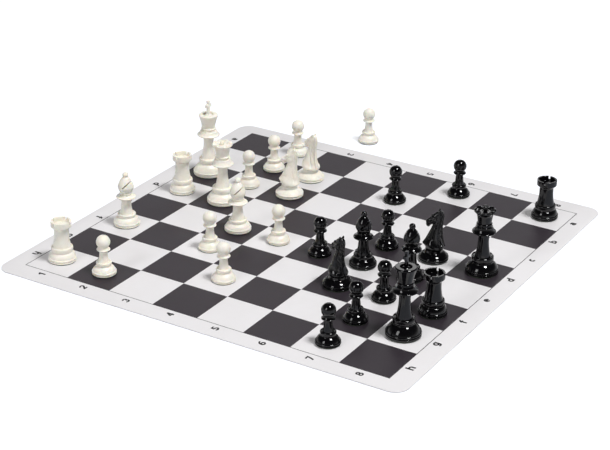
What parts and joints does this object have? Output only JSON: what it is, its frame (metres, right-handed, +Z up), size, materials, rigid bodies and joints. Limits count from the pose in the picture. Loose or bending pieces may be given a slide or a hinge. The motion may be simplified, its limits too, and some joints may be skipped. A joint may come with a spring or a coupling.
{
  "type": "roll-up chess set",
  "caption": "Roll-up chess mat printed with squares, with weighted, felted plastic chess pieces standing on it in a game position.",
  "frame": {"origin": "centre of the mat's underside, on the table", "axes": "+Z up; +X from the a-file to the h-file; +Y from the first rank, where White sits, to the eighth"},
  "size_m": [0.5564, 0.5056, 0.0972],
  "materials": {
    "mat_vinyl": "matte sheet",
    "mat_print": "matte print",
    "white_plastic": "semi-gloss ivory",
    "black_plastic": "high-gloss black",
    "felt": "pressed felt"
  },
  "bodies": {
    "board": {"mat": "mat_vinyl", "dark_squares": "mat_print", "border_line": "mat_print"},
    "white_king_c1": {"white_king_c1": "white_plastic", "white_king_c1_felt": "felt"},
    "white_queen_d2": {"white_queen_d2": "white_plastic", "white_queen_d2_felt": "felt"},
    "white_rook_h1": {"white_rook_h1": "white_plastic", "white_rook_h1_felt": "felt"},
    "white_rook_d1": {"white_rook_d1": "white_plastic", "white_rook_d1_felt": "felt"},
    "white_bishop_f1": {"white_bishop_f1": "white_plastic", "white_bishop_f1_felt": "felt"},
    "white_bishop_e3": {"white_bishop_e3": "white_plastic", "white_bishop_e3_felt": "felt"},
    "white_knight_c3": {"white_knight_c3": "white_plastic", "white_knight_c3_felt": "felt"},
    "white_knight_b3": {"white_knight_b3": "white_plastic", "white_knight_b3_felt": "felt"},
    "white_pawn_a2": {"white_pawn_a2": "white_plastic"},
    "white_pawn_b2": {"white_pawn_b2": "white_plastic"},
    "white_pawn_c2": {"white_pawn_c2": "white_plastic"},
    "white_pawn_e4": {"white_pawn_e4": "white_plastic"},
    "white_pawn_f3": {"white_pawn_f3": "white_plastic"},
    "white_pawn_g4": {"white_pawn_g4": "white_plastic"},
    "white_pawn_h2": {"white_pawn_h2": "white_plastic"},
    "white_pawn_taken": {"white_pawn_taken": "white_plastic"},
    "black_king_g8": {"black_king_g8": "black_plastic", "black_king_g8_felt": "felt"},
    "black_queen_d8": {"black_queen_d8": "black_plastic", "black_queen_d8_felt": "felt"},
    "black_rook_a8": {"black_rook_a8": "black_plastic", "black_rook_a8_felt": "felt"},
    "black_rook_f8": {"black_rook_f8": "black_plastic", "black_rook_f8_felt": "felt"},
    "black_bishop_e6": {"black_bishop_e6": "black_plastic", "black_bishop_e6_felt": "felt"},
    "black_bishop_e7": {"black_bishop_e7": "black_plastic", "black_bishop_e7_felt": "felt"},
    "black_knight_f6": {"black_knight_f6": "black_plastic", "black_knight_f6_felt": "felt"},
    "black_knight_d7": {"black_knight_d7": "black_plastic", "black_knight_d7_felt": "felt"},
    "black_pawn_a6": {"black_pawn_a6": "black_plastic"},
    "black_pawn_b5": {"black_pawn_b5": "black_plastic"},
    "black_pawn_d6": {"black_pawn_d6": "black_plastic"},
    "black_pawn_e5": {"black_pawn_e5": "black_plastic"},
    "black_pawn_f7": {"black_pawn_f7": "black_plastic"},
    "black_pawn_g7": {"black_pawn_g7": "black_plastic"},
    "black_pawn_h7": {"black_pawn_h7": "black_plastic"}
  },
  "joints": [
    {"name": "white_king_c1_lift", "type": "slide", "parent": "board", "child": "white_king_c1", "axis": [0, 0, 1], "range_m": [0, 0.12]},
    {"name": "white_queen_d2_lift", "type": "slide", "parent": "board", "child": "white_queen_d2", "axis": [0, 0, 1], "range_m": [0, 0.12]},
    {"name": "white_rook_h1_lift", "type": "slide", "parent": "board", "child": "white_rook_h1", "axis": [0, 0, 1], "range_m": [0, 0.12]},
    {"name": "white_rook_d1_lift", "type": "slide", "parent": "board", "child": "white_rook_d1", "axis": [0, 0, 1], "range_m": [0, 0.12]},
    {"name": "white_bishop_f1_lift", "type": "slide", "parent": "board", "child": "white_bishop_f1", "axis": [0, 0, 1], "range_m": [0, 0.12]},
    {"name": "white_bishop_e3_lift", "type": "slide", "parent": "board", "child": "white_bishop_e3", "axis": [0, 0, 1], "range_m": [0, 0.12]},
    {"name": "white_knight_c3_lift", "type": "slide", "parent": "board", "child": "white_knight_c3", "axis": [0, 0, 1], "range_m": [0, 0.12]},
    {"name": "white_knight_b3_lift", "type": "slide", "parent": "board", "child": "white_knight_b3", "axis": [0, 0, 1], "range_m": [0, 0.12]},
    {"name": "white_pawn_a2_lift", "type": "slide", "parent": "board", "child": "white_pawn_a2", "axis": [0, 0, 1], "range_m": [0, 0.12]},
    {"name": "white_pawn_b2_lift", "type": "slide", "parent": "board", "child": "white_pawn_b2", "axis": [0, 0, 1], "range_m": [0, 0.12]},
    {"name": "white_pawn_c2_lift", "type": "slide", "parent": "board", "child": "white_pawn_c2", "axis": [0, 0, 1], "range_m": [0, 0.12]},
    {"name": "white_pawn_e4_lift", "type": "slide", "parent": "board", "child": "white_pawn_e4", "axis": [0, 0, 1], "range_m": [0, 0.12]},
    {"name": "white_pawn_f3_lift", "type": "slide", "parent": "board", "child": "white_pawn_f3", "axis": [0, 0, 1], "range_m": [0, 0.12]},
    {"name": "white_pawn_g4_lift", "type": "slide", "parent": "board", "child": "white_pawn_g4", "axis": [0, 0, 1], "range_m": [0, 0.12]},
    {"name": "white_pawn_h2_lift", "type": "slide", "parent": "board", "child": "white_pawn_h2", "axis": [0, 0, 1], "range_m": [0, 0.12]},
    {"name": "white_pawn_taken_lift", "type": "slide", "parent": "board", "child": "white_pawn_taken", "axis": [0, 0, 1], "range_m": [0, 0.12]},
    {"name": "black_king_g8_lift", "type": "slide", "parent": "board", "child": "black_king_g8", "axis": [0, 0, 1], "range_m": [0, 0.12]},
    {"name": "black_queen_d8_lift", "type": "slide", "parent": "board", "child": "black_queen_d8", "axis": [0, 0, 1], "range_m": [0, 0.12]},
    {"name": "black_rook_a8_lift", "type": "slide", "parent": "board", "child": "black_rook_a8", "axis": [0, 0, 1], "range_m": [0, 0.12]},
    {"name": "black_rook_f8_lift", "type": "slide", "parent": "board", "child": "black_rook_f8", "axis": [0, 0, 1], "range_m": [0, 0.12]},
    {"name": "black_bishop_e6_lift", "type": "slide", "parent": "board", "child": "black_bishop_e6", "axis": [0, 0, 1], "range_m": [0, 0.12]},
    {"name": "black_bishop_e7_lift", "type": "slide", "parent": "board", "child": "black_bishop_e7", "axis": [0, 0, 1], "range_m": [0, 0.12]},
    {"name": "black_knight_f6_lift", "type": "slide", "parent": "board", "child": "black_knight_f6", "axis": [0, 0, 1], "range_m": [0, 0.12]},
    {"name": "black_knight_d7_lift", "type": "slide", "parent": "board", "child": "black_knight_d7", "axis": [0, 0, 1], "range_m": [0, 0.12]},
    {"name": "black_pawn_a6_lift", "type": "slide", "parent": "board", "child": "black_pawn_a6", "axis": [0, 0, 1], "range_m": [0, 0.12]},
    {"name": "black_pawn_b5_lift", "type": "slide", "parent": "board", "child": "black_pawn_b5", "axis": [0, 0, 1], "range_m": [0, 0.12]},
    {"name": "black_pawn_d6_lift", "type": "slide", "parent": "board", "child": "black_pawn_d6", "axis": [0, 0, 1], "range_m": [0, 0.12]},
    {"name": "black_pawn_e5_lift", "type": "slide", "parent": "board", "child": "black_pawn_e5", "axis": [0, 0, 1], "range_m": [0, 0.12]},
    {"name": "black_pawn_f7_lift", "type": "slide", "parent": "board", "child": "black_pawn_f7", "axis": [0, 0, 1], "range_m": [0, 0.12]},
    {"name": "black_pawn_g7_lift", "type": "slide", "parent": "board", "child": "black_pawn_g7", "axis": [0, 0, 1], "range_m": [0, 0.12]},
    {"name": "black_pawn_h7_lift", "type": "slide", "parent": "board", "child": "black_pawn_h7", "axis": [0, 0, 1], "range_m": [0, 0.12]}
  ]
}
